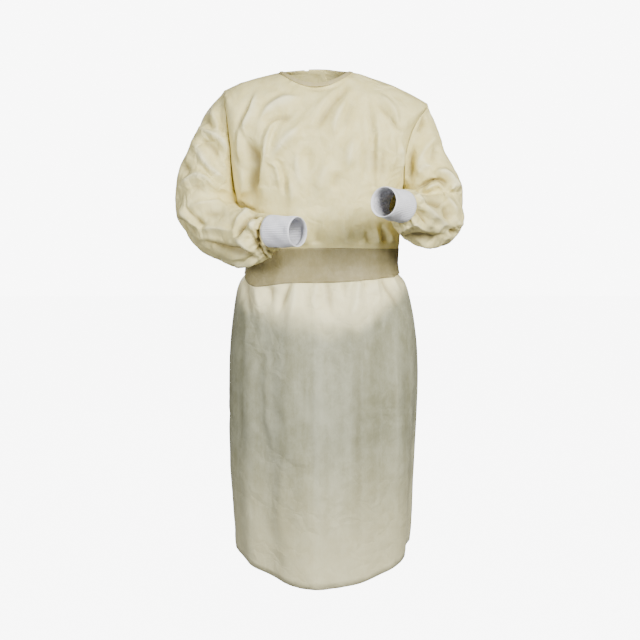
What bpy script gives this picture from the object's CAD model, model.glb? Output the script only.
"""Isolation gown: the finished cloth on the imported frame, with its creases, knit and materials.

Metres, +Z up, the front faces -Y. Left and right are the wearer's own. Creases are listed where they show in
a picture 640 wide and 640 high, either the camera's own or one taken square on from behind.
"""

import math
from collections import namedtuple

import bmesh
import bpy
import numpy as np
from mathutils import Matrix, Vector, kdtree, noise
from mathutils.bvhtree import BVHTree


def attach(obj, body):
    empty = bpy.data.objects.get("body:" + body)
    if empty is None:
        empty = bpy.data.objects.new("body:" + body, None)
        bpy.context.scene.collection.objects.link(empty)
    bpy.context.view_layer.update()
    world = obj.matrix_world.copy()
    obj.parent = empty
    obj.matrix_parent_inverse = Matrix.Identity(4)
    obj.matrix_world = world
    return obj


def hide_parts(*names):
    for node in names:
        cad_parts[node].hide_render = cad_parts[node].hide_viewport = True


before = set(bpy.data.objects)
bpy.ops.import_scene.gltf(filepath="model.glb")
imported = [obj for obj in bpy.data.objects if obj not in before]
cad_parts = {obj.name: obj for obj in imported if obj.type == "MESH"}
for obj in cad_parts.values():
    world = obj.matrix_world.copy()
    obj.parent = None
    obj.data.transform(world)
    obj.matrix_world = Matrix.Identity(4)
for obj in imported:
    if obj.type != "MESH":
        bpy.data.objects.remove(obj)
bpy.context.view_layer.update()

# Camera
CAMERA_PLACE = Vector((-0.0035, -2.4, -0.2433))
CAMERA_TILT = math.radians(7.8)  # below level
LENS = 57.7
SENSOR = 36.0
PICTURE = 640
FOCUS = LENS / SENSOR * PICTURE
BACK_SCALE = 427.0  # picture points to a metre in the picture from behind
BACK_MIDDLE = (320.0, 72.0)  # where that picture shows the frame's origin

# Walls of the frame's cloth, and the thicknesses of the finished sheets
WALLS = {"cloth": 0.0015, "belt": 0.0018}
RIM_SHARE = 1.25  # a face with an edge under this many walls is on a wall's rim
CLOTH_THICKNESS = 0.0007
BELT_THICKNESS = 0.0011
KNIT_THICKNESS = 0.0016
MERGE = 1e-5
SHEET_ANGLES = (50, 60)  # the most, in degrees, at which two triangles still make one four-sided face
SOLID_ANGLES = (40, 60)
CORNER_TURN = math.radians(28)
CORNER_REACH = 0.004

# A crease runs along its path. height is in millimetres, over 0 for a ridge. near and far are its half
# widths, in picture points, on the left and the right of someone who walks the path.
Crease = namedtuple("Crease", "path height near far")

FRONT_CREASES = [
    Crease([(296, 83.5), (308, 87.0), (322, 88.2), (336, 85.0), (346, 78.0)], -2.2, 1.3, 1.6),
    Crease([(257, 92), (252.7, 105), (248, 114.5), (243.5, 125), (244.5, 134)], 4.4, 3.0, 2.4),
    Crease([(252, 98), (243.5, 114), (239, 122.5), (234, 130)], -3.4, 2.2, 2.2),
    Crease([(239, 132), (237.5, 147), (239, 160)], 3.0, 2.4, 2.0),
    Crease([(234.5, 132), (234.5, 148), (236, 166)], -2.4, 1.8, 1.8),
    Crease(
        [(243.5, 138), (250.5, 150), (256.5, 164), (254.5, 176), (250.5, 187), (255, 199)],
        height=-5.0, near=4.4, far=4.0,
    ),
    Crease([(241, 170), (243, 186), (240, 200)], 2.6, 3.0, 3.4),
    Crease(
        [(280, 118), (273, 123.5), (268.5, 133), (265.3, 147), (263, 160), (259.5, 175), (257.5, 188)],
        height=4.2, near=3.0, far=1.9,
    ),
    Crease([(279, 122.5), (273.5, 131), (269, 143), (267.6, 154)], -3.0, 1.9, 2.2),
    Crease([(259.5, 121), (265.3, 112), (273.3, 105), (285, 99.5), (300, 97)], 4.4, 2.4, 4.2),
    Crease([(261, 124), (273, 117.5), (285, 116.5), (294, 112)], -3.6, 2.6, 3.0),
    Crease([(323, 103), (310, 120), (300, 132)], -3.4, 3.4, 2.4),
    Crease([(300, 123.5), (294, 130.5), (285, 138.5), (277, 149), (271, 160)], 4.0, 3.4, 3.0),
    Crease([(268, 163), (273.3, 165), (277, 169.5), (279, 178), (280, 190)], 3.2, 2.4, 1.8),
    Crease([(277, 160), (281, 168), (284, 180), (284, 194)], -3.4, 1.8, 2.6),
    Crease([(322, 102), (310, 118), (299, 132)], 2.8, 2.6, 3.2),
    Crease([(296, 150), (297, 172), (303, 189)], 3.0, 4.0, 3.2),
    Crease([(310, 148), (307, 172)], -2.4, 2.6, 3.4),
    Crease([(289, 176), (292, 192), (290, 206)], 2.6, 3.0, 3.0),
    Crease([(233, 198), (239, 204), (245, 208.5), (257, 210)], -4.0, 1.5, 1.8),
    Crease([(347, 80), (345, 90), (331, 104), (323, 118), (315, 132)], -4.0, 3.4, 3.0),
    Crease([(337, 87), (323, 104), (315, 117), (305, 128)], 2.8, 2.8, 2.4),
    Crease([(351, 89), (342, 105), (335, 121), (334, 140)], 3.0, 3.2, 3.2),
    Crease([(354, 92), (348, 116), (344, 133)], -2.6, 3.0, 2.4),
    Crease([(368, 96), (371, 118), (374, 145), (374.5, 187)], -2.8, 1.6, 2.0),
    Crease([(377, 112), (379, 140), (378, 160)], 2.0, 2.4, 3.0),
    Crease([(374, 96), (387, 112), (395, 125), (402, 133)], -3.0, 2.0, 2.2),
    Crease([(378, 92), (394, 109), (398, 126)], 2.6, 2.2, 3.0),
    Crease([(355, 135), (351, 148), (347, 170)], 3.0, 3.2, 3.0),
    Crease([(363, 140), (367, 159), (364, 182)], -2.2, 3.0, 3.0),
    Crease([(401, 140), (402, 159), (402, 176)], 2.6, 2.4, 2.0),
    Crease([(386, 140), (383, 159), (381, 183)], -2.2, 3.0, 3.0),
    Crease([(393, 134), (395, 151), (394, 172)], 2.2, 3.0, 2.6),
    Crease([(330, 160), (322, 178), (318, 196)], 2.4, 4.0, 3.6),
    Crease([(339, 172), (334, 190)], -2.0, 3.4, 3.0),
    Crease([(376, 226), (379, 246), (380, 262)], 2.6, 1.8, 2.0),
    Crease([(382, 225), (386, 246), (387, 262)], -3.0, 1.8, 2.0),
    Crease([(389, 228), (393, 246), (394, 262)], 2.4, 1.8, 1.6),
    Crease([(367, 229), (370, 246), (371, 262)], -2.0, 2.2, 2.0),
    Crease([(299, 218), (302, 246), (303, 262)], 2.0, 3.0, 2.4),
    Crease([(319, 222), (316, 246), (315, 262)], -2.0, 3.0, 2.6),
    Crease([(344, 220), (347, 246), (348, 262)], 2.0, 3.0, 2.4),
    Crease([(278, 312), (285, 294), (290, 281), (293, 266)], -3.2, 2.2, 1.6),
    Crease([(361, 262), (363.7, 277), (366.5, 290)], -4.0, 1.3, 1.5),
    Crease([(297, 262), (296, 281), (294, 302), (289, 326)], 3.0, 3.2, 3.4),
    Crease([(318, 262), (317, 283), (314, 302), (316, 322)], 2.4, 3.6, 3.0),
    Crease([(326, 262), (327, 281), (329, 296), (332, 318)], -3.0, 3.0, 4.0),
    Crease([(357, 264), (358, 284), (355, 306), (347, 324)], 2.8, 3.2, 2.6),
    Crease([(379, 266), (386, 284), (394, 297), (402, 310)], -2.8, 1.8, 2.0),
    Crease([(386, 260), (392, 278), (402, 296)], 2.4, 2.0, 2.4),
    Crease([(246, 270), (246, 292), (250, 314)], -2.4, 1.8, 2.2),
    Crease([(254, 266), (256, 288), (259, 306), (260, 326)], 2.4, 3.0, 3.0),
    Crease([(268, 266), (269, 286), (271, 304)], -2.4, 2.4, 2.2),
    Crease([(346, 262), (345, 280), (343, 297)], -2.6, 1.8, 2.2),
    Crease([(373, 262), (376, 280), (380, 302)], 2.2, 2.4, 2.0),
    Crease([(313, 336), (312, 420), (314, 540)], -1.4, 6.0, 3.0),
    Crease([(322, 336), (321, 420), (323, 560)], 1.6, 3.0, 7.0),
    Crease([(362, 330), (359, 430), (360, 570)], -1.6, 4.0, 8.0),
    Crease([(268, 350), (267, 400), (272, 450)], 1.6, 2.4, 3.6),
    Crease([(241, 330), (239, 400), (246, 480)], -0.9, 4.0, 5.0),
    Crease([(405, 330), (409, 400), (406, 480)], -0.9, 4.0, 5.0),
    Crease([(395, 340), (397, 410), (396, 500)], 1.8, 4.0, 3.0),
    Crease([(280, 470), (279, 530)], 1.4, 3.0, 4.0),
    Crease([(345, 440), (347, 520)], 1.0, 4.0, 4.0),
]

SLEEVE_RIGHT_CREASES = [
    Crease([(212, 106), (214, 116), (218, 125), (220.5, 134)], 3.0, 2.4, 2.4),
    Crease([(203, 116), (208, 122), (212, 132)], -3.0, 3.0, 2.6),
    Crease([(220, 108), (222, 122), (226, 136)], -2.4, 2.0, 2.4),
    Crease([(197, 127), (208, 131.5), (216, 136), (223, 141), (227.5, 148), (230, 158)], 4.2, 2.6, 2.4),
    Crease([(197, 137), (208, 144), (219, 154), (225, 164)], -3.6, 2.6, 2.4),
    Crease([(220, 151), (224, 163), (230, 174)], 3.0, 1.8, 2.0),
    Crease([(190, 139), (197.5, 150), (203, 159), (209, 168), (218, 174), (228, 181)], 4.2, 3.2, 2.6),
    Crease([(200, 164), (208, 174), (216, 182), (225, 187)], -3.6, 2.0, 2.4),
    Crease(
        [(176, 191), (185, 182), (191, 176.5), (199, 175.5), (207, 178), (218, 186), (230, 192)],
        height=4.0, near=3.0, far=2.6,
    ),
    Crease([(180, 163), (187, 170.5), (184, 178)], -3.6, 2.6, 3.0),
    Crease([(185, 186), (196, 186), (206, 194)], -2.6, 3.0, 3.4),
    Crease([(192, 210), (196, 205), (204, 203), (216, 201.5), (227, 205)], 3.0, 2.4, 2.4),
    Crease([(196, 213), (212, 212), (230, 214)], -2.4, 3.4, 3.4),
    Crease([(178, 205), (182.5, 213), (189.5, 221), (198.5, 229)], 3.2, 2.2, 2.2),
    Crease([(184, 207), (189, 214), (196, 220), (204.5, 225)], -3.4, 1.8, 2.0),
    Crease([(180, 220), (188, 230), (196, 236)], -3.0, 2.4, 2.6),
    Crease([(198, 231.5), (210, 228), (222, 229), (235, 232)], 3.4, 2.4, 2.6),
    Crease(
        [(198, 243), (208, 243), (219, 246.5), (230, 250), (241, 253.5), (250.5, 258), (258, 262)],
        height=-5.0, near=2.2, far=2.6,
    ),
    Crease([(226, 259), (241, 264), (256, 266), (270, 264)], 3.4, 2.4, 2.4),
    Crease([(234, 236), (239, 242), (248, 250), (252, 255)], 4.0, 2.8, 2.6),
    Crease([(265, 212), (255, 213.5), (248, 217), (243.5, 220.5), (239, 227), (236, 236)], -9.5, 1.7, 1.4),
    Crease([(265, 208.5), (253, 209.5), (243.5, 215), (237.5, 222.5), (233.5, 231)], 4.2, 1.8, 2.4),
    Crease([(249, 230), (253.5, 225), (258, 221)], 5.0, 2.6, 2.4),
    Crease([(262, 217), (258.5, 224.5), (257.3, 233), (259, 242), (262, 250), (270, 262)], -7.5, 1.4, 1.3),
    Crease([(250.5, 232.5), (255, 242), (259.5, 253), (266.5, 261.5)], -4.4, 1.6, 1.5),
    Crease([(254, 231), (257, 243), (262, 254), (268.5, 262)], 3.0, 1.3, 1.3),
    Crease([(267, 216), (263.4, 224.5), (262, 234), (263.4, 243), (268, 254), (273, 260)], 4.6, 1.5, 1.5),
    Crease([(267, 236), (267.6, 244), (267.8, 252), (277.5, 253.5)], -3.8, 1.2, 1.3),
    Crease([(271, 240), (274, 246), (282, 250), (290, 251)], 2.6, 1.4, 1.6),
]

SLEEVE_LEFT_CREASES = [
    Crease([(425, 114), (420, 125), (414, 132)], -3.2, 1.4, 1.6),
    Crease([(421, 117), (418, 122), (414, 129), (409, 136)], 3.6, 1.4, 1.4),
    Crease([(436, 134), (432, 142), (425, 150), (420, 159), (415, 170)], 3.8, 3.8, 3.2),
    Crease([(413, 145), (410.5, 165), (409, 182)], -3.0, 2.2, 2.2),
    Crease([(441, 143), (434, 151), (430, 164)], -3.2, 3.0, 3.2),
    Crease([(440, 128), (444, 142), (447, 158)], 2.6, 2.6, 2.6),
    Crease([(417, 176), (422, 169), (429, 166.5), (433, 169)], 4.0, 2.6, 3.0),
    Crease(
        [(414, 189.5), (422, 185), (427, 182), (432, 180), (438, 180.5), (443, 184.5), (446.5, 190)],
        height=-6.5, near=1.9, far=1.7,
    ),
    Crease([(434, 174), (440, 175.5), (446, 181), (448.5, 188)], -3.6, 1.8, 2.2),
    Crease([(433, 170.5), (446, 173.5), (453, 179.5), (458, 185)], 4.4, 2.4, 2.4),
    Crease([(448, 190), (456, 185.5), (462, 184)], 3.4, 2.6, 2.6),
    Crease([(424, 192), (432, 185), (440, 183.5), (444, 189)], 3.6, 2.0, 2.2),
    Crease([(423, 196), (432, 199.5), (440, 202.5), (446, 197)], -4.2, 2.8, 2.6),
    Crease([(445, 203), (449, 210), (450.5, 222)], -4.0, 1.9, 1.9),
    Crease([(444, 191), (448, 200), (455, 208), (457.5, 216)], 3.8, 2.6, 2.4),
    Crease([(423, 200), (427, 208), (434, 215), (440, 219), (446, 226)], 4.0, 2.8, 2.4),
    Crease([(417, 204), (422, 215), (427.5, 230)], -3.6, 1.9, 2.0),
    Crease([(414, 193), (419, 198), (424, 202)], 3.6, 2.0, 2.0),
    Crease([(410, 197), (414.5, 204), (415.5, 213), (410.5, 221.5), (406, 227)], -4.4, 1.4, 1.4),
    Crease([(397, 236), (405, 229), (413, 223.5), (422, 228), (430, 234)], 3.4, 2.4, 2.4),
    Crease([(398, 240), (415, 239.5), (434, 239), (446, 236)], -4.4, 2.2, 2.4),
    Crease([(434, 238), (440, 229), (446, 224), (456, 227)], 3.2, 2.4, 2.4),
    Crease([(452, 235), (457.5, 231)], -5.0, 1.8, 1.8),
    Crease([(455, 216), (458, 223), (464, 224)], 3.0, 2.0, 2.0),
    Crease([(410, 247), (425, 249), (440, 246)], 2.6, 2.4, 2.4),
]

# Behind, the left side of the picture is the wearer's left
BACK_CREASES = [
    Crease([(262, 100), (244, 118), (236, 140)], 3.2, 2.8, 3.0),
    Crease([(282, 98), (262, 122), (252, 150)], -3.4, 3.2, 3.0),
    Crease([(296, 108), (280, 140), (272, 176)], 3.0, 3.6, 3.0),
    Crease([(248, 140), (252, 170), (250, 204)], -4.0, 3.6, 4.2),
    Crease([(305, 130), (300, 170), (304, 212)], 2.4, 4.0, 3.4),
    Crease([(286, 182), (290, 214), (288, 236)], -2.4, 3.0, 3.4),
    Crease([(378, 98), (396, 118), (404, 140)], 3.2, 3.0, 2.8),
    Crease([(358, 98), (378, 122), (388, 150)], -3.4, 3.0, 3.2),
    Crease([(344, 108), (360, 140), (368, 176)], 3.0, 3.0, 3.6),
    Crease([(392, 140), (388, 172), (390, 206)], -4.0, 4.2, 3.6),
    Crease([(336, 136), (342, 176), (338, 214)], 2.6, 3.4, 4.0),
    Crease([(352, 190), (350, 216), (354, 236)], -2.4, 3.4, 3.0),
    Crease([(266, 276), (262, 300), (264, 330)], -2.8, 2.4, 2.0),
    Crease([(282, 274), (280, 304)], 2.6, 2.6, 2.4),
    Crease([(298, 276), (302, 300), (300, 334)], -2.6, 2.0, 2.6),
    Crease([(356, 274), (358, 306)], 2.6, 2.4, 2.6),
    Crease([(370, 276), (374, 304), (372, 330)], -2.8, 2.0, 2.4),
    Crease([(388, 278), (392, 300)], 2.4, 2.2, 2.6),
    Crease([(252, 340), (248, 420), (252, 500)], 2.4, 4.0, 5.0),
    Crease([(284, 330), (280, 420), (282, 520)], -2.4, 5.0, 5.0),
    Crease([(360, 330), (366, 420), (364, 520)], 2.4, 5.0, 5.0),
    Crease([(394, 340), (398, 420), (394, 500)], -2.4, 5.0, 4.0),
]

BACK_SLEEVE_CREASES = [
    Crease([(214, 112), (206, 134), (196, 150)], 3.0, 2.8, 3.0),
    Crease([(222, 130), (210, 152), (196, 168)], -3.2, 2.8, 3.0),
    Crease([(222, 160), (206, 176), (190, 184)], 3.2, 3.2, 3.0),
    Crease([(224, 184), (208, 192), (194, 196)], -3.0, 2.8, 3.0),
    Crease([(226, 196), (214, 206), (198, 214)], 2.8, 3.0, 3.0),
    Crease([(428, 112), (436, 134), (446, 150)], 3.0, 3.0, 2.8),
    Crease([(418, 126), (430, 152), (446, 170)], -3.2, 3.0, 2.8),
    Crease([(416, 158), (434, 178), (452, 190)], 3.2, 3.0, 3.2),
    Crease([(414, 184), (432, 200), (450, 208)], -3.0, 3.0, 2.8),
    Crease([(416, 204), (430, 216), (446, 224)], 2.8, 3.0, 3.0),
]

BELT_CREASES = [
    Crease([(330, 278), (336, 264), (344, 250)], 1.6, 3.0, 3.4),
    Crease([(346, 276), (352, 262), (356, 250)], -1.2, 3.0, 3.0),
    Crease([(262, 262), (284, 258), (304, 262)], -1.0, 2.4, 2.4),
    Crease([(366, 256), (384, 258), (398, 255)], 0.9, 2.0, 2.2),
    Crease([(300, 270), (312, 262), (322, 250)], -1.0, 2.6, 2.6),
    Crease([(382, 274), (390, 262), (396, 252)], -1.0, 2.2, 2.2),
]

CREASE_SCALE = 2.8
CREASE_WIDTH = 1.25  # times the half widths above
TIP = 0.10  # how round a crease's crest is, as a share of its half width
FOOT = 1.9  # where a crease's flanks end, in half widths
FOOT_SHARPNESS = 5.0
ENDS = (-0.15, 0.35)  # a crease grows from nothing between these shares of its length
NARROWEST = 0.45  # the width of its ends, as a share of its own
FACING = (0.02, 0.35)  # a crease grows from nothing as the cloth turns to its picture by these cosines

# Soft unevenness of the whole cloth: the size of its swells, in metres, and their heights
Swell = namedtuple("Swell", "size height seed")
SWELLS = [Swell(0.110, 0.0030, 3.1), Swell(0.034, 0.0006, 17.7)]
CRUMPLES = [Swell(0.062, 0.0070, 41.3), Swell(0.025, 0.0020, 23.9)]
FACETS = [Swell(0.078, 0.0080, 5.7), Swell(0.034, 0.0020, 11.3)]  # flat places with crisp folds between them
FACET_MIDDLE = 0.4
FACET_WIDTH = 0.75  # as a share of the facets' height
FACET_BEND = 1.4
CREST_ROUNDING = 0.0004
BEND_SIZE = 0.12
BEND = 0.45
BEND_SEED = 1  # without it the noise would bend them another way each run
PATCH_SIZE = 0.16  # of the patches that are crumpled
PATCH_SHARPNESS = 1.6
PATCH_SEED = Vector((7.0, 5.0, 2.0))

# The share of all that on each kind of piece
BODY_SHARE = 0.55
SLEEVE_SHARE = 0.82
BELT_SWELLS = 0.1
PLAIN_SHARE = 0.3

# Seams and the belt's place
SEAM_FADE = 0.010
SEAM_SHARE = 0.25  # the share of a crease's height that is left at a seam
HEM_Z = -1.08  # below this the edge is free
FINE_BANDS = [(-0.392, 0.1), (-0.545, -0.468)]  # the body is divided once more between these heights
BELT_BAND = (-0.456, -0.389)  # the body's cloth lies flat under the belt here
BELT_FADE = 0.009
FOLD_TONE = 0.0120  # the lift, in metres, that takes the whole of a crease's tone
SOFT_TONE = 0.5  # the share of it that a swell takes

# Places where all the cloth within reach is moved, in metres
Push = namedtuple("Push", "place reach move")
SLEEVE_PUSHES = [
    Push((-0.205, -0.008, -0.291), 0.030, (0.0165, -0.003, 0.0)),
    Push((-0.207, -0.062, -0.150), 0.030, (-0.003, -0.009, 0.0)),
    Push((-0.207, -0.062, -0.200), 0.030, (-0.003, -0.009, 0.0)),
    Push((-0.207, -0.060, -0.245), 0.028, (-0.002, -0.008, 0.0)),
]
BODY_PUSHES = [Push((-0.197, -0.006, -0.291), 0.030, (-0.007, 0.0, 0.0))]

# How far the belt's lower edge droops, in metres, along the picture's width
BELT_DROOP = [(240, 0.020), (262, 0.024), (290, 0.014), (330, 0.013), (362, 0.009), (400, 0.003)]
BELT_DROOP_FROM = -0.440  # below this height
BELT_DROOP_SIDE = (-0.010, -0.075)  # the droop grows between these places, from the side to the front
BELT_FRONT = -0.005  # in front of this the belt is kept clear of the sheet under it
BELT_CLEAR = 0.0022
BELT_PROBE = 0.03  # how far out from it the look for that sheet starts
BELT_SHARE = 0.6  # of its creases' heights
BELT_DEEPEST = 0.0005

# Gathers of a sleeve at its cuff
WRISTS = {
    "left": (Vector((0.1710, -0.2220, -0.300)), Vector((-0.59, -0.79, 0.15)).normalized()),
    "right": (Vector((-0.110, -0.1900, -0.353)), Vector((0.80, -0.60, 0.01)).normalized()),
}
WRIST_GATHERS = (17, 29)
WRIST_GATHER_HEIGHT = 0.0009
WRIST_GATHER_REACH = 0.026
WRIST_GATHER_FADE = (-0.16, -0.05)
WRIST_GATHER_MIDDLE = -0.006

# Cuffs
CUFF_RADIUS = 0.0345
CUFF_END_RADIUS = 0.0315
CUFF_LENGTH = 0.075
CUFF_RIBS = 54
CUFF_RIB_HEIGHT = 0.00055
CUFF_SLACK = 0.0011
CUFF_ROWS = 14
CUFF_TURNED_IN = [(0.99, 0.5), (0.96, 1.0), (0.90, 1.0), (0.82, 1.0)]  # share of its length, and how far in
CUFF_END_WALL = 0.0022
CUFF_GAP = 0.0003

# The knot's wraps
KNOT_WRAP_HEIGHT = 0.0011
KNOT_MIDDLE = 0.006

# The cut of each sheet of cloth: its size laid flat and its flat area, in metres, and how it is held
Cut = namedtuple("Cut", "width length area held rests_on")

# Light
LIGHTS = [
    # Name, place, size, power and colour
    ("key", (1.75, -2.85, 1.15), 1.7, 285.0, (1.0, 0.985, 0.95)),
    ("fill", (-2.1, -2.75, 0.3), 1.2, 98.0, (0.99, 0.99, 1.0)),
    ("back", (-0.9, 2.8, 0.2), 1.4, 50.0, (1.0, 0.99, 0.97)),
]
LIGHT_AIM = Vector((0, 0, -0.45))
WORLD_STRENGTH = 0.06
BACKGROUND_STRENGTH = 8.5  # as the camera sees it
FLOOR_Z = -1.42
FLOOR_SIZE = 8.0
FLOOR_COLOUR = (0.12, 0.12, 0.12, 1.0)
FLOOR_GLOW = 8.0  # as the camera sees it

# Colours, as the surface's own share of red, green and blue light
CREAM = (0.800, 0.700, 0.300, 1.0)
CREAM_PALE = (0.880, 0.800, 0.400, 1.0)
CREAM_THIN = (0.950, 0.900, 0.600, 1.0)
VEIL = (0.235, 0.232, 0.138, 1.0)
VEIL_PALE = (0.420, 0.425, 0.305, 1.0)
OLIVE = (0.255, 0.215, 0.095, 1.0)
OLIVE_PALE = (0.325, 0.280, 0.145, 1.0)
KNIT_WHITE = (0.800, 0.805, 0.850, 1.0)
KNIT_SHADE = (0.700, 0.710, 0.770, 1.0)
WHITE = (1.0, 1.0, 1.0, 1.0)
TROUGH_TONE = (0.54, 0.50, 0.43, 1.0)
RIDGE_TONE = (0.97, 0.94, 0.64, 1.0)
RIDGE_SHARE = 0.60
TROUGH_FOLD = (0.42, 0.0)  # the folds that a trough's tone comes in at, and is whole at
RIDGE_FOLD = (0.58, 1.0)

# Cloth materials
BONDING = 0.35
FIBRE_HEIGHT = 0.016
CRINKLE_SCALE = 24.0
CRINKLE_DRIFT = (0.06, 0.06, 0.09)
BUMP = 0.9
BUMP_DISTANCE = 0.0060
CLOTH_ROUGHNESS = 0.55
CLOTH_SHEEN = 0.05
SLEEVE_THROUGH = 0.09  # the share of light that passes through
BODY_THROUGH = 0.08
BELT_THROUGH = 0.05
SLEEVE_CRINKLE = 1.25  # the heights of the crinkles
BODY_CRINKLE = 0.6
VEIL_CALM = 0.30  # what is taken from that where the veil is
BELT_CRINKLE = 0.3
TRIM_CRINKLE = 0.2

# Heights on the body at which its cloth changes, in metres
THINNER = (-0.43, -0.49)
THINNER_SHARE = 0.6
VEILED = (-0.535, -0.605)
VEIL_BOW = 2.0  # the veil starts higher by this much times the square of the place across
VEIL_WANDER = 0.09
CLEARING = (-0.78, -1.20)
CLEARED = 0.60
COLUMN_LEFT = (-0.023, -0.012)  # the two sides of a lighter column down the middle
COLUMN_RIGHT = (0.090, 0.030)
COLUMN_WANDER = 0.12
COLUMN_PALE = 0.34  # how much paler the veil is there, and by its mottle and its streaks
MOTTLE_PALE = 0.50
STREAK_PALE = 0.30


# Where points are seen


def seen_in_front(points):
    """The camera's picture points of these points, and the directions from them to the camera."""
    away = points - np.array(CAMERA_PLACE)
    cos, sin = math.cos(CAMERA_TILT), math.sin(CAMERA_TILT)
    depth = away[:, 1] * cos - away[:, 2] * sin
    height = away[:, 2] * cos + away[:, 1] * sin
    across = PICTURE / 2 + FOCUS * away[:, 0] / depth
    down = PICTURE / 2 - FOCUS * height / depth
    toward = -away / np.linalg.norm(away, axis=1, keepdims=True)
    return np.stack([across, down], axis=1), toward


def seen_behind(points):
    """The same for the picture that is taken square on from behind."""
    across = BACK_MIDDLE[0] - BACK_SCALE * points[:, 0]
    down = BACK_MIDDLE[1] - BACK_SCALE * points[:, 2]
    toward = np.tile((0.0, 1.0, 0.0), (len(points), 1))
    return np.stack([across, down], axis=1), toward


def smooth_step(low, high, values):
    """0 at low and 1 at high, eased at both ends. low may be over high."""
    share = np.clip((values - low) / (high - low), 0.0, 1.0)
    return share * share * (3 - 2 * share)


# Lift of the cloth


def rounded_path(path, cuts=4):
    """The points of a path with its corners rounded off."""
    points = np.array(path, float)
    if len(points) < 3:
        return points
    padded = np.concatenate([[2 * points[0] - points[1]], points, [2 * points[-1] - points[-2]]])
    made = []
    for k in range(1, len(padded) - 2):
        a, b, c, d = padded[k - 1 : k + 3]
        for share in np.arange(cuts) / cuts:
            made.append(
                0.5 * (2 * b + (c - a) * share + (2 * a - 5 * b + 4 * c - d) * share**2)
                + 0.5 * (3 * b - a - 3 * c + d) * share**3
            )
    return np.array(made + [points[-1]])


def crease_lift(crease, seen):
    """Metres by which one crease lifts the cloth at each picture point."""
    path = rounded_path(crease.path)
    reach = 3 * CREASE_WIDTH * max(crease.near, crease.far)
    low, high = path.min(axis=0) - reach, path.max(axis=0) + reach
    picked = np.flatnonzero(np.all((seen > low) & (seen < high), axis=1))
    lift = np.zeros(len(seen))
    if not len(picked):
        return lift
    points = seen[picked]
    lengths = np.linalg.norm(np.diff(path, axis=0), axis=1)
    starts = np.concatenate([[0.0], np.cumsum(lengths)])
    best = np.full(len(points), 1e9)
    side, share = np.zeros(len(points)), np.zeros(len(points))
    for k, length in enumerate(lengths):
        along = (path[k + 1] - path[k]) / length
        offset = points - path[k]
        run = offset @ along
        inside = np.clip(run, 0.0, length)
        aside = offset - inside[:, None] * along
        distance = np.linalg.norm(aside, axis=1)
        closer = distance < best
        best[closer] = distance[closer]
        side[closer] = (along[0] * offset[:, 1] - along[1] * offset[:, 0])[closer]
        share[closer] = ((starts[k] + run) / starts[-1])[closer]
    ends = smooth_step(*ENDS, share) * smooth_step(*ENDS, 1 - share)
    width = CREASE_WIDTH * np.where(side < 0, crease.near, crease.far) * (NARROWEST + (1 - NARROWEST) * ends)
    lift[picked] = 0.001 * CREASE_SCALE * crease.height * ends * flank(best / width)
    return lift


def flank(across):
    """The height of a crease this many half widths from its crest, with flat sides and a rounded foot."""
    away = np.sqrt(across**2 + TIP**2) - TIP
    return np.log1p(np.exp(FOOT_SHARPNESS * (1 - away / FOOT))) / math.log1p(math.exp(FOOT_SHARPNESS))


def creases_lift(points, normals, front, back):
    """Metres by which both lists of creases lift the cloth, each on the side that its picture shows."""
    total = np.zeros(len(points))
    for creases, look in ((front, seen_in_front), (back, seen_behind)):
        seen, toward = look(points)
        facing = np.sum(normals * toward, axis=1)
        lift = sum((crease_lift(crease, seen) for crease in creases), np.zeros(len(points)))
        total += lift * smooth_step(*FACING, facing)
    return total


def swell_lift(points):
    """Metres by which the soft swells, the crumples and the facets of the cloth lift it."""
    lift = np.zeros(len(points))
    for index, point in enumerate(points):
        place = Vector(point)
        for swell in SWELLS:
            lift[index] += swell.height * noise.noise(place / swell.size + Vector((swell.seed,) * 3))
        bend = noise.noise_vector(place / BEND_SIZE) * BEND
        patch = 0.5 + PATCH_SHARPNESS * noise.noise(place / PATCH_SIZE + PATCH_SEED)
        amount = min(1.0, max(0.0, patch))
        for swell in CRUMPLES:
            crest = abs(noise.noise(place / swell.size + bend + Vector((swell.seed,) * 3)))
            lift[index] -= swell.height * amount * math.sqrt(crest * crest + CREST_ROUNDING)
        for swell in FACETS:
            spot = Vector((place.x, place.y, FACET_WIDTH * place.z)) / swell.size + FACET_BEND * bend
            near = noise.voronoi(spot + Vector((swell.seed,) * 3))[0]
            lift[index] += swell.height * (min(1.0, near[1] - near[0]) - FACET_MIDDLE)
    return lift


def round_axis(axis):
    """Two directions square to a sleeve's axis: the one that points down, and the one across it."""
    down = (Vector((0, 0, -1)) + axis * axis.z).normalized()
    return down, axis.cross(down)


def wrist_lift(points, side):
    """Metres by which the gathers at the cuff lift the end of a sleeve."""
    wrist, axis = WRISTS[side]
    down, across = round_axis(axis)
    away = points - np.array(wrist)
    along = away @ np.array(axis)
    turn = np.arctan2(away @ np.array(across), away @ np.array(down))
    fade = np.exp(-(((along - WRIST_GATHER_MIDDLE) / WRIST_GATHER_REACH) ** 2))
    fade *= smooth_step(*WRIST_GATHER_FADE, along)
    few, many = WRIST_GATHERS
    waves = np.cos(few * turn + 2.0 * np.sin(2 * turn)) + 0.6 * np.cos(many * turn + 1.3)
    return WRIST_GATHER_HEIGHT * fade * waves


# The lift of each kind of piece, of its creases and of its soft swells


def body_lift(points, normals):
    """The body lies flat under the belt."""
    low, high = BELT_BAND
    low = low - belt_droop(points)
    free = smooth_step(high, high + BELT_FADE, points[:, 2]) + smooth_step(low, low - BELT_FADE, points[:, 2])
    creased = creases_lift(points, normals, FRONT_CREASES, BACK_CREASES)
    return creased * free, BODY_SHARE * swell_lift(points) * free


def left_sleeve_lift(points, normals):
    creased = creases_lift(points, normals, SLEEVE_LEFT_CREASES, BACK_SLEEVE_CREASES)
    return creased, SLEEVE_SHARE * swell_lift(points) + wrist_lift(points, "left")


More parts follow.
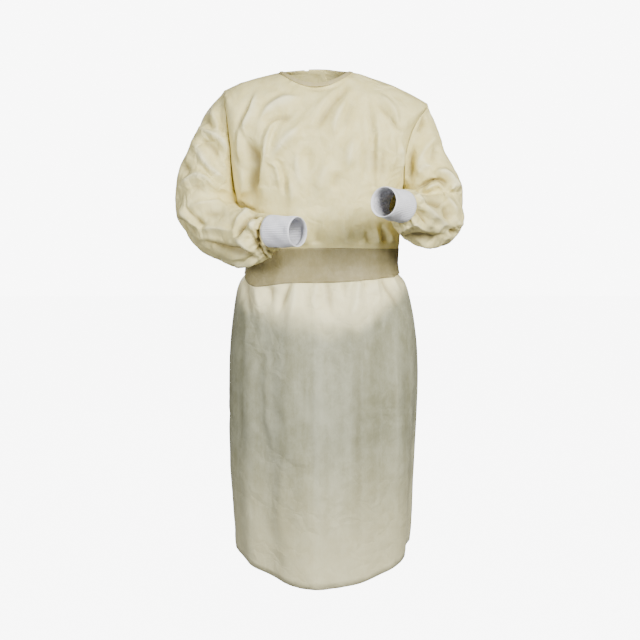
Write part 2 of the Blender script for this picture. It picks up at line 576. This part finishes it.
def right_sleeve_lift(points, normals):
    creased = creases_lift(points, normals, SLEEVE_RIGHT_CREASES, BACK_SLEEVE_CREASES)
    return creased, SLEEVE_SHARE * swell_lift(points) + wrist_lift(points, "right")


def belt_lift(points, normals):
    """The belt's troughs are shallow, so that it stays clear of what it lies on."""
    creased = BELT_SHARE * creases_lift(points, normals, BELT_CREASES, [])
    return np.maximum(creased, -BELT_DEEPEST), BELT_SWELLS * swell_lift(points)


def plain_lift(points, normals):
    return np.zeros(len(points)), PLAIN_SHARE * swell_lift(points)


# Cloth from the frame's nodes


def islands(mesh):
    """The separate sheets of a bmesh, as lists of faces."""
    left, found = set(mesh.faces), []
    while left:
        first = left.pop()
        group, waiting = [first], [first]
        while waiting:
            face = waiting.pop()
            for other in (other for edge in face.edges for other in edge.link_faces):
                if other in left:
                    left.remove(other)
                    group.append(other)
                    waiting.append(other)
        found.append(group)
    return found


def merged_copy(node):
    """A bmesh of a node's mesh with its loose triangles joined."""
    mesh = bmesh.new()
    mesh.from_mesh(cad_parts[node].data)
    bmesh.ops.remove_doubles(mesh, verts=mesh.verts, dist=MERGE)
    return mesh


def four_sided(mesh, angles):
    """Joins pairs of triangles that lie nearly flat and make a face that is nearly square-cornered."""
    flat, square = (math.radians(angle) for angle in angles)
    bmesh.ops.join_triangles(
        mesh, faces=mesh.faces[:], angle_face_threshold=flat, angle_shape_threshold=square
    )


def outer_skin(node, wall):
    """A bmesh of the outer face of a cloth wall, in quads. The wall's rim is cut away, and of the two sheets
    that it joined the one stays that faces away from the middle."""
    skin = merged_copy(node)
    rim = [face for face in skin.faces if min(e.calc_length() for e in face.edges) < RIM_SHARE * wall]
    bmesh.ops.delete(skin, geom=rim, context="FACES")
    middle = sum((vertex.co for vertex in skin.verts), Vector()) / len(skin.verts)

    def outwards(faces):
        return sum(face.calc_area() * face.normal.dot(face.calc_center_median() - middle) for face in faces)

    sheets = sorted(islands(skin), key=outwards)
    inner = [face for faces in sheets[:-1] for face in faces]
    bmesh.ops.delete(skin, geom=inner, context="FACES")
    four_sided(skin, SHEET_ANGLES)
    return skin


def boundary_corners(mesh):
    """The points where a sheet's edge turns sharply."""
    corners = []
    for vertex in mesh.verts:
        edges = [edge for edge in vertex.link_edges if edge.is_boundary]
        if len(edges) == 2:
            first, second = ((edge.other_vert(vertex).co - vertex.co) for edge in edges)
            if math.pi - first.angle(second) > CORNER_TURN:
                corners.append(vertex.co.copy())
    return corners


def hold_corners(mesh, corners):
    """Keeps the sheet's edge sharp at these places when it is smoothed."""
    layer = mesh.verts.layers.float.new("crease_vert")
    for vertex in mesh.verts:
        if vertex.is_boundary and any((vertex.co - corner).length < CORNER_REACH for corner in corners):
            vertex[layer] = 1.0


def applied(thing):
    """Puts what the object's modifiers make in the place of its mesh."""
    graph = bpy.context.evaluated_depsgraph_get()
    made = bpy.data.meshes.new_from_object(thing.evaluated_get(graph))
    old = thing.data
    thing.modifiers.clear()
    thing.data = made
    bpy.data.meshes.remove(old)


def add_piece(name, mesh):
    """An object from a bmesh, shaded smooth."""
    shape = bpy.data.meshes.new(name)
    mesh.to_mesh(shape)
    mesh.free()
    shape.shade_smooth()
    thing = bpy.data.objects.new(name, shape)
    bpy.context.scene.collection.objects.link(thing)
    return thing


def subdivided(thing, levels):
    """Smooths the object's mesh and divides it this many times."""
    modifier = thing.modifiers.new("smooth", "SUBSURF")
    modifier.levels = levels
    modifier.render_levels = levels
    modifier.boundary_smooth = "PRESERVE_CORNERS"
    bpy.context.view_layer.update()
    applied(thing)


def divided_again(thing, bands):
    """Divides the faces between these heights once more, and eases the new points."""
    mesh = bmesh.new()
    mesh.from_mesh(thing.data)
    edges = [e for e in mesh.edges if any(all(low < v.co.z < high for v in e.verts) for low, high in bands)]
    made = bmesh.ops.subdivide_edges(mesh, edges=edges, cuts=1, use_grid_fill=True, smooth=0.0)
    fresh = [v for v in made["geom_inner"] if isinstance(v, bmesh.types.BMVert) and not v.is_boundary]
    bmesh.ops.smooth_vert(mesh, verts=fresh, factor=0.5, use_axis_x=True, use_axis_y=True, use_axis_z=True)
    mesh.to_mesh(thing.data)
    mesh.free()
    thing.data.shade_smooth()


def mesh_points(shape):
    """The places and the normals of a mesh's points, a row for each."""
    points = np.empty(len(shape.vertices) * 3)
    shape.vertices.foreach_get("co", points)
    normals = np.empty(len(shape.vertices) * 3)
    shape.vertices.foreach_get("normal", normals)
    return points.reshape(-1, 3), normals.reshape(-1, 3)


def seam_share(shape, points):
    """1 away from the sheet's seams, and less within reach of them. The hem's free edge isn't a seam."""
    counts = np.zeros(len(shape.edges), int)
    loops = np.empty(len(shape.loops), int)
    shape.loops.foreach_get("edge_index", loops)
    np.add.at(counts, loops, 1)
    pairs = np.empty(len(shape.edges) * 2, int)
    shape.edges.foreach_get("vertices", pairs)
    edge_vertices = np.unique(pairs.reshape(-1, 2)[counts == 1])
    seam = [index for index in edge_vertices if points[index, 2] > HEM_Z]
    tree = kdtree.KDTree(len(seam))
    for number, index in enumerate(seam):
        tree.insert(Vector(points[index]), number)
    tree.balance()
    distance = np.array([tree.find(Vector(point))[2] for point in points])
    return SEAM_SHARE + (1 - SEAM_SHARE) * smooth_step(0.0, SEAM_FADE, distance)


def lifted(thing, lift_of):
    """Moves the object's points out along their normals by the lift of its creases and of its soft swells,
    and keeps the lift as the attribute "fold", from 0 in a trough to 1 on a ridge."""
    points, normals = mesh_points(thing.data)
    creased, soft = lift_of(points, normals)
    share = seam_share(thing.data, points)
    lift = (creased + soft) * share
    thing.data.vertices.foreach_set("co", (points + normals * lift[:, None]).ravel())
    tone = thing.data.attributes.new("fold", "FLOAT", "POINT")
    fold = 0.5 + 0.5 * (creased + SOFT_TONE * soft) / FOLD_TONE
    tone.data.foreach_set("value", np.clip(fold, 0.0, 1.0))
    thing.data.update()


def pushed(thing, pushes):
    """Moves the points near each push's place by it, less the further they lie."""
    points, _ = mesh_points(thing.data)
    free = seam_share(thing.data, points)
    for push in pushes:
        away = np.linalg.norm(points - np.array(push.place), axis=1)
        points += (free * np.exp(-((away / push.reach) ** 2)))[:, None] * np.array(push.move)
    thing.data.vertices.foreach_set("co", points.ravel())
    thing.data.update()


def belt_droop(points):
    """How far the belt's lower edge droops over each point, in metres. It doesn't behind."""
    seen, _ = seen_in_front(points)
    across, droop = rounded_path([(x, 1000 * down) for x, down in BELT_DROOP]).T
    return 0.001 * np.interp(seen[:, 0], across, droop) * smooth_step(*BELT_DROOP_SIDE, points[:, 1])


def drooped(belt, under):
    """Lets the belt's lower edge droop over the sheet under it, and keeps it clear of that sheet."""
    points, normals = mesh_points(belt.data)
    share = smooth_step(BELT_DROOP_FROM, points[:, 2].min() + 0.002, points[:, 2])
    points[:, 2] -= belt_droop(points) * share
    tree = BVHTree.FromObject(under, bpy.context.evaluated_depsgraph_get())
    for index in np.flatnonzero((points[:, 2] < BELT_DROOP_FROM) & (points[:, 1] < BELT_FRONT)):
        outward = Vector((normals[index, 0], normals[index, 1], 0)).normalized()
        start = Vector(points[index]) + BELT_PROBE * outward
        hit, _, _, distance = tree.ray_cast(start, -outward, 2 * BELT_PROBE)
        if hit:
            points[index] += np.array(outward) * max(0.0, BELT_PROBE - distance + BELT_CLEAR)
    belt.data.vertices.foreach_set("co", points.ravel())
    belt.data.update()


def thickened(thing, thickness):
    """Gives the sheet its thickness, inwards from its outer face."""
    modifier = thing.modifiers.new("thickness", "SOLIDIFY")
    modifier.thickness = thickness
    modifier.offset = -1.0
    modifier.use_even_offset = False
    modifier.use_quality_normals = False


def cloth_piece(name, node, lift_of, levels=2, bands=(), wall="cloth", corners=(), pushes=()):
    """A sheet on a node's outer face, smoothed, creased and pushed, that stands for the node."""
    skin = outer_skin(node, WALLS[wall])
    hold_corners(skin, corners)
    piece = add_piece(name, skin)
    subdivided(piece, levels)
    if bands:
        divided_again(piece, bands)
    lifted(piece, lift_of)
    pushed(piece, pushes)
    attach(piece, "root")
    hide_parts(node)
    return piece


# Materials


def new_group(name, inputs, outputs):
    """A shader node group with these sockets, and its input and output nodes."""
    group = bpy.data.node_groups.new(name, "ShaderNodeTree")
    for socket, kind, value in inputs:
        made = group.interface.new_socket(name=socket, in_out="INPUT", socket_type=kind)
        if value is not None:
            made.default_value = value
    for socket, kind in outputs:
        group.interface.new_socket(name=socket, in_out="OUTPUT", socket_type=kind)
    return group, group.nodes.new("NodeGroupInput"), group.nodes.new("NodeGroupOutput")


def add_node(tree, kind, links=(), **values):
    """A node with its properties set. links gives (input name or number, a socket or a plain value)."""
    made = tree.nodes.new(kind)
    for name, value in values.items():
        setattr(made, name, value)
    for place, value in links:
        if isinstance(value, bpy.types.NodeSocket):
            tree.links.new(value, made.inputs[place])
        else:
            made.inputs[place].default_value = value
    return made


def noise_of(tree, place, scale, detail, rough, stretch=(1.0, 1.0, 1.0)):
    """Noise from 0 to 1, with the pattern's places stretched along the three axes."""
    mapped = add_node(tree, "ShaderNodeMapping", [("Vector", place), ("Scale", stretch)])
    made = add_node(
        tree,
        "ShaderNodeTexNoise",
        [("Vector", mapped.outputs[0]), ("Scale", scale), ("Detail", detail), ("Roughness", rough)],
    )
    return made.outputs["Fac"]


def maths(tree, operation, first, second, clamp=False):
    made = add_node(tree, "ShaderNodeMath", [(0, first), (1, second)], operation=operation, use_clamp=clamp)
    return made.outputs[0]


def plus(tree, first, second, clamp=False):
    return maths(tree, "ADD", first, second, clamp)


def times(tree, first, second):
    return maths(tree, "MULTIPLY", first, second)


def ramped(tree, value, low, high, smooth=True):
    """The value spread from 0 at low to 1 at high. low may be over high."""
    kind = "SMOOTHSTEP" if smooth else "LINEAR"
    made = add_node(
        tree,
        "ShaderNodeMapRange",
        [("Value", value), ("From Min", low), ("From Max", high)],
        interpolation_type=kind,
    )
    return made.outputs["Result"]


def mixed_colour(tree, share, first, second, blend="MIX"):
    links = [(0, share), (6, first), (7, second)]
    return add_node(tree, "ShaderNodeMix", links, data_type="RGBA", blend_type=blend).outputs[2]


def fibre_group():
    """Nonwoven cloth: laid fibres, cloudy thin and thick places, and the fine grid of bonding points."""
    tree, given, out = new_group(
        "nonwoven_fibres",
        [("Place", "NodeSocketVector", None), ("Bonding", "NodeSocketFloat", BONDING)],
        [("Mottle", "NodeSocketFloat"), ("Height", "NodeSocketFloat")],
    )
    place = given.outputs["Place"]
    fibres = noise_of(tree, place, 420.0, 5.0, 0.7, (1.0, 1.0, 0.45))
    clouds = noise_of(tree, place, 48.0, 5.0, 0.66, (1.0, 1.0, 0.7))
    wide = noise_of(tree, place, 15.0, 3.0, 0.5)
    both = plus(tree, times(tree, clouds, 0.7), times(tree, fibres, 0.3))
    mottle = plus(tree, times(tree, both, 0.75), times(tree, wide, 0.25))
    tree.links.new(ramped(tree, mottle, 0.36, 0.64), out.inputs["Mottle"])
    grid = [("Vector", place), ("Scale", 620.0), ("Randomness", 0.15)]
    points = add_node(tree, "ShaderNodeTexVoronoi", grid)
    dots = ramped(tree, points.outputs["Distance"], 0.12, 0.45)
    dots = times(tree, dots, given.outputs["Bonding"])
    height = plus(tree, times(tree, both, 0.8), dots)
    tree.links.new(height, out.inputs["Height"])
    return tree


def crinkle_group():
    """Small sharp crinkles of crisp cloth, as a height."""
    tree, given, out = new_group(
        "crisp_crinkles",
        [("Place", "NodeSocketVector", None), ("Scale", "NodeSocketFloat", CRINKLE_SCALE)],
        [("Height", "NodeSocketFloat")],
    )
    place = given.outputs["Place"]
    drift = add_node(tree, "ShaderNodeTexNoise", [("Vector", place), ("Scale", 14.0), ("Detail", 3.0)])
    shift = [(0, drift.outputs["Color"]), (1, CRINKLE_DRIFT)]
    moved = add_node(tree, "ShaderNodeVectorMath", shift, operation="MULTIPLY")
    bent = add_node(tree, "ShaderNodeVectorMath", [(0, place), (1, moved.outputs[0])], operation="ADD")
    cells = add_node(
        tree,
        "ShaderNodeTexVoronoi",
        [("Vector", bent.outputs[0]), ("Scale", given.outputs["Scale"])],
        feature="DISTANCE_TO_EDGE",
    )
    facets = ramped(tree, cells.outputs["Distance"], 0.0, 0.5, smooth=False)
    patch = ramped(tree, noise_of(tree, place, 9.0, 2.0, 0.5), 0.30, 0.66)
    tree.links.new(times(tree, facets, patch), out.inputs["Height"])
    return tree


def streak_group():
    """Faint upright streaks of thin cloth, from 0 to 1."""
    tree, given, out = new_group(
        "upright_streaks", [("Place", "NodeSocketVector", None)], [("Streaks", "NodeSocketFloat")]
    )
    streaks = noise_of(tree, given.outputs["Place"], 34.0, 4.0, 0.6, (1.0, 1.0, 0.06))
    tree.links.new(ramped(tree, streaks, 0.40, 0.66), out.inputs["Streaks"])
    return tree


def object_place(tree):
    return add_node(tree, "ShaderNodeTexCoord").outputs["Object"]


def use_group(tree, group, links):
    return add_node(tree, "ShaderNodeGroup", links, node_tree=group).outputs


def new_material(name):
    made = bpy.data.materials.new(name)
    made.use_nodes = True
    tree = made.node_tree
    return made, tree, tree.nodes["Principled BSDF"], tree.nodes["Material Output"]


def fold_toned(tree, colour):
    """The colour a little deeper in the creases' troughs and lighter on their ridges."""
    fold = add_node(tree, "ShaderNodeAttribute", attribute_name="fold").outputs["Fac"]
    trough = ramped(tree, fold, *TROUGH_FOLD)
    ridge = ramped(tree, fold, *RIDGE_FOLD)
    toned = mixed_colour(tree, trough, colour, TROUGH_TONE, "MULTIPLY")
    return mixed_colour(tree, times(tree, ridge, RIDGE_SHARE), toned, RIDGE_TONE)


def finish_cloth(tree, shader, output, colour, height, through):
    """Joins a thin cloth's colour and height to its shader, which lets some light through."""
    colour = fold_toned(tree, colour)
    relief = [("Height", height), ("Strength", BUMP), ("Distance", BUMP_DISTANCE)]
    bumped = add_node(tree, "ShaderNodeBump", relief).outputs[0]
    tree.links.new(colour, shader.inputs["Base Color"])
    tree.links.new(bumped, shader.inputs["Normal"])
    shader.inputs["Roughness"].default_value = CLOTH_ROUGHNESS
    shader.inputs["Specular IOR Level"].default_value = 0.35
    shader.inputs["Sheen Weight"].default_value = CLOTH_SHEEN
    shader.inputs["Sheen Roughness"].default_value = 0.5
    behind = add_node(tree, "ShaderNodeBsdfTranslucent", [("Color", colour), ("Normal", bumped)])
    shares = [(0, through), (1, shader.outputs[0]), (2, behind.outputs[0])]
    both = add_node(tree, "ShaderNodeMixShader", shares)
    tree.links.new(both.outputs[0], output.inputs["Surface"])


def cloth_height(tree, fibre, sharp, crinkle):
    """The height of the fibres and of the crinkles together."""
    return plus(tree, times(tree, fibre["Height"], FIBRE_HEIGHT), times(tree, sharp["Height"], crinkle))


def cloth_material(name, groups, deep, pale, through=SLEEVE_THROUGH, crinkle=SLEEVE_CRINKLE):
    """Cloth of one colour, mottled from deep to pale."""
    fibres, crinkles, _ = groups
    made, tree, shader, output = new_material(name)
    place = object_place(tree)
    fibre = use_group(tree, fibres, [("Place", place), ("Bonding", BONDING)])
    sharp = use_group(tree, crinkles, [("Place", place), ("Scale", CRINKLE_SCALE)])
    colour = mixed_colour(tree, fibre["Mottle"], deep, pale)
    finish_cloth(tree, shader, output, colour, cloth_height(tree, fibre, sharp, crinkle), through)
    return made


def veil_colour(tree, fibre, streak, across, clearing, cream):
    """The cooler and greyer colour of the skirt, lighter down its middle and clearer towards its hem."""
    centre = times(tree, ramped(tree, across, *COLUMN_LEFT), ramped(tree, across, *COLUMN_RIGHT))
    thin = plus(tree, times(tree, fibre["Mottle"], MOTTLE_PALE), times(tree, streak["Streaks"], STREAK_PALE))
    thin = plus(tree, thin, times(tree, centre, COLUMN_PALE), clamp=True)
    veil = mixed_colour(tree, thin, VEIL, VEIL_PALE)
    return mixed_colour(tree, times(tree, clearing, CLEARED), veil, cream)


def body_material(name, groups):
    """The body's cloth: cream above, and below the hips a cooler and greyer one that thin cloth turns to."""
    fibres, crinkles, streaks = groups
    made, tree, shader, output = new_material(name)
    place = object_place(tree)
    fibre = use_group(tree, fibres, [("Place", place), ("Bonding", BONDING)])
    sharp = use_group(tree, crinkles, [("Place", place), ("Scale", CRINKLE_SCALE)])
    streak = use_group(tree, streaks, [("Place", place)])
    apart = add_node(tree, "ShaderNodeSeparateXYZ", [(0, place)])
    x, z = apart.outputs["X"], apart.outputs["Z"]
    drift = maths(tree, "SUBTRACT", noise_of(tree, place, 7.0, 3.0, 0.55), 0.5)
    wander = times(tree, drift, VEIL_WANDER)
    bow = times(tree, times(tree, x, x), VEIL_BOW)
    veiled = ramped(tree, maths(tree, "SUBTRACT", plus(tree, z, wander), bow), *VEILED)
    cream = mixed_colour(tree, fibre["Mottle"], CREAM, CREAM_PALE)
    thinner = times(tree, ramped(tree, z, *THINNER), THINNER_SHARE)
    cream = mixed_colour(tree, thinner, cream, CREAM_THIN)
    across = plus(tree, x, times(tree, wander, COLUMN_WANDER))
    veil = veil_colour(tree, fibre, streak, across, ramped(tree, z, *CLEARING), cream)
    colour = mixed_colour(tree, veiled, cream, veil)
    crinkle = maths(tree, "SUBTRACT", BODY_CRINKLE, times(tree, veiled, VEIL_CALM))
    finish_cloth(tree, shader, output, colour, cloth_height(tree, fibre, sharp, crinkle), BODY_THROUGH)
    return made


def knit_material(name):
    """White rib knit with a little fuzz."""
    made, tree, shader, _ = new_material(name)
    place = object_place(tree)
    fuzz = noise_of(tree, place, 900.0, 4.0, 0.7)
    soft = noise_of(tree, place, 60.0, 3.0, 0.5)
    both = plus(tree, times(tree, fuzz, 0.6), times(tree, soft, 0.4))
    colour = mixed_colour(tree, ramped(tree, both, 0.38, 0.62), KNIT_SHADE, KNIT_WHITE)
    bumped = add_node(tree, "ShaderNodeBump", [("Height", fuzz), ("Strength", 0.3), ("Distance", 0.0006)])
    tree.links.new(colour, shader.inputs["Base Color"])
    tree.links.new(bumped.outputs[0], shader.inputs["Normal"])
    shader.inputs["Roughness"].default_value = 0.85
    shader.inputs["Specular IOR Level"].default_value = 0.25
    shader.inputs["Sheen Weight"].default_value = 0.35
    shader.inputs["Sheen Roughness"].default_value = 0.5
    return made


def give(thing, finish):
    """Gives a piece its material and slot, and says how its cloth was cut."""
    thing.data.materials.clear()
    thing.data.materials.append(finish)


# Cuffs


def cuff_radius(turn, share, inside):
    """The knit's radius, with its ribs and a little slack, at this turn and this share of its length."""
    radius = CUFF_RADIUS + (CUFF_END_RADIUS - CUFF_RADIUS) * share - CUFF_END_WALL * inside
    radius += CUFF_RIB_HEIGHT * math.cos(CUFF_RIBS * turn) * (1 - 0.7 * inside)
    slack = math.sin(3 * turn + 5.0 * share) + 0.7 * math.sin(5 * turn - 9.0 * share + 1.0)
    return radius + CUFF_SLACK * slack * math.sin(math.pi * share) * (1 - inside)


def plain_tube(around, rows):
    """A bmesh of a tube with this many points around and rows of faces. Its rings all lie in one place."""
    tube = bmesh.new()
    bmesh.ops.create_circle(tube, segments=around, radius=CUFF_RADIUS)
    ring = tube.edges[:]
    for _ in range(rows):
        made = bmesh.ops.extrude_edge_only(tube, edges=ring)["geom"]
        ring = [e for e in made if isinstance(e, bmesh.types.BMEdge) and all(v in made for v in e.verts)]
        ring = [e for e in ring if e.is_boundary]
        tube.verts.index_update()
    return tube


def make_cuff(side):
    """A rib-knit tube whose end is turned in."""
    wrist, axis = WRISTS[side]
    rings = [(k / CUFF_ROWS, 0.0) for k in range(CUFF_ROWS + 1)] + CUFF_TURNED_IN
    around = 4 * CUFF_RIBS
    tube = plain_tube(around, len(rings) - 1)
    down, across = round_axis(axis)
    for number, vertex in enumerate(tube.verts):
        row, column = divmod(number, around)
        share, inside = rings[row]
        turn = 2 * math.pi * column / around
        radius = cuff_radius(turn, share, inside)
        place = wrist + axis * (CUFF_GAP + share * CUFF_LENGTH)
        vertex.co = place + down * (radius * math.cos(turn)) + across * (radius * math.sin(turn))
    bmesh.ops.recalc_face_normals(tube, faces=tube.faces[:])
    cuff = add_piece(f"rib_cuff_{side}", tube)
    thickened(cuff, KNIT_THICKNESS)
    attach(cuff, "root")
    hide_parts(f"cuff_{side}")
    return cuff


# Scene


def make_floor():
    floor = bmesh.new()
    bmesh.ops.create_grid(floor, x_segments=1, y_segments=1, size=FLOOR_SIZE)
    bmesh.ops.translate(floor, verts=floor.verts, vec=(0, 0, FLOOR_Z))
    shape = bpy.data.meshes.new("floor")
    floor.to_mesh(shape)
    floor.free()
    thing = bpy.data.objects.new("floor", shape)
    bpy.context.scene.collection.objects.link(thing)
    made, tree, shader, _ = new_material("floor_white")
    shader.inputs["Base Color"].default_value = FLOOR_COLOUR
    shader.inputs["Roughness"].default_value = 0.9
    shader.inputs["Emission Color"].default_value = WHITE
    camera_sees = add_node(tree, "ShaderNodeLightPath").outputs["Is Camera Ray"]
    tree.links.new(times(tree, camera_sees, FLOOR_GLOW), shader.inputs["Emission Strength"])
    shape.materials.append(made)


def make_lights():
    for name, place, size, power, colour in LIGHTS:
        lamp = bpy.data.lights.new(name, "AREA")
        lamp.shape = "DISK"
        lamp.size = size
        lamp.energy = power
        lamp.color = colour
        thing = bpy.data.objects.new(name, lamp)
        thing.location = place
        thing.rotation_euler = (LIGHT_AIM - Vector(place)).to_track_quat("-Z", "Y").to_euler()
        bpy.context.scene.collection.objects.link(thing)


def make_world():
    """A dim white sky that the camera sees as a bright one."""
    world = bpy.data.worlds.new("studio")
    world.use_nodes = True
    tree = world.node_tree
    sky = tree.nodes["Background"]
    sky.inputs[0].default_value = WHITE
    camera_sees = add_node(tree, "ShaderNodeLightPath").outputs["Is Camera Ray"]
    strength = add_node(
        tree,
        "ShaderNodeMapRange",
        [("Value", camera_sees), ("To Min", WORLD_STRENGTH), ("To Max", BACKGROUND_STRENGTH)],
    )
    tree.links.new(strength.outputs["Result"], sky.inputs[1])
    bpy.context.scene.world = world


def make_camera():
    camera = bpy.data.cameras.new("camera")
    camera.lens = LENS
    camera.sensor_width = SENSOR
    thing = bpy.data.objects.new("camera", camera)
    thing.location = CAMERA_PLACE
    thing.rotation_euler = (math.pi / 2 - CAMERA_TILT, 0, 0)
    bpy.context.scene.collection.objects.link(thing)
    bpy.context.scene.camera = thing


def make_cloth():
    """All the sheets, by the ends of their slots' names."""
    corners = boundary_corners(outer_skin("front_panel", WALLS["cloth"]))
    body = {"corners": corners, "pushes": BODY_PUSHES, "bands": FINE_BANDS}
    sleeve = {"levels": 3, "corners": corners, "pushes": SLEEVE_PUSHES}
    pieces = {
        "front": cloth_piece("front_cloth", "front_panel", body_lift, **body),
        "back_left": cloth_piece("back_cloth_left", "back_left", body_lift, **body),
        "back_right": cloth_piece("back_cloth_right", "back_right", body_lift, **body),
        "sleeve_left": cloth_piece("sleeve_cloth_left", "sleeve_left", left_sleeve_lift, **sleeve),
        "sleeve_right": cloth_piece("sleeve_cloth_right", "sleeve_right", right_sleeve_lift, **sleeve),
        "belt": cloth_piece("belt_band", "belt", belt_lift, 3, wall="belt"),
        "tail_left": cloth_piece("belt_end_left", "belt_tail_left", plain_lift, 3),
        "tail_right": cloth_piece("belt_end_right", "belt_tail_right", plain_lift, 3),
        "tab": cloth_piece("neck_fastening", "neck_tab", plain_lift, 3),
    }
    drooped(pieces["belt"], pieces["front"])
    for name, piece in pieces.items():
        thickened(piece, BELT_THICKNESS if name == "belt" else CLOTH_THICKNESS)
    return pieces


def knot_lift(points):
    """Metres by which the wraps of the belt's knot lift it."""
    away = points - points.mean(axis=0)
    turn = np.arctan2(away[:, 2], away[:, 0])
    reach = np.hypot(away[:, 2], away[:, 0])
    wraps = np.cos(3 * turn + 260 * reach) + 0.5 * np.cos(7 * turn - 150 * reach + 1.0)
    return KNOT_WRAP_HEIGHT * wraps * smooth_step(0.0, KNOT_MIDDLE, reach)


def solid_piece(name, node, levels, lift_of=None):
    """A closed CAD wall, merged and smoothed, for the pieces that have no wide sheet."""
    mesh = merged_copy(node)
    four_sided(mesh, SOLID_ANGLES)
    piece = add_piece(name, mesh)
    subdivided(piece, levels)
    if lift_of:
        points, normals = mesh_points(piece.data)
        piece.data.vertices.foreach_set("co", (points + normals * lift_of(points)[:, None]).ravel())
        piece.data.update()
    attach(piece, "root")
    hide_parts(node)
    return piece


def main():
    noise.seed_set(BEND_SEED)
    make_camera()
    make_floor()
    make_lights()
    make_world()
    groups = fibre_group(), crinkle_group(), streak_group()
    body = body_material("body_cloth", groups)
    sleeve = cloth_material("sleeve_cloth", groups, CREAM, CREAM_PALE)
    belt = cloth_material("belt_cloth", groups, OLIVE, OLIVE_PALE, BELT_THROUGH, BELT_CRINKLE)
    trim = cloth_material("trim_cloth", groups, CREAM_PALE, CREAM_THIN, BODY_THROUGH, TRIM_CRINKLE)
    knit = knit_material("white_rib_knit")
    finishes = {"front": body, "back": body, "sleeve": sleeve, "belt": belt, "tail": belt, "tab": trim}
    for name, piece in make_cloth().items():
        give(piece, finishes[name.split("_")[0]])
    give(solid_piece("neck_ribbon", "neck_binding", 2), trim)
    give(solid_piece("tied_knot", "belt_knot", 2, knot_lift), belt)
    for side in ("left", "right"):
        give(make_cuff(side), knit)


main()
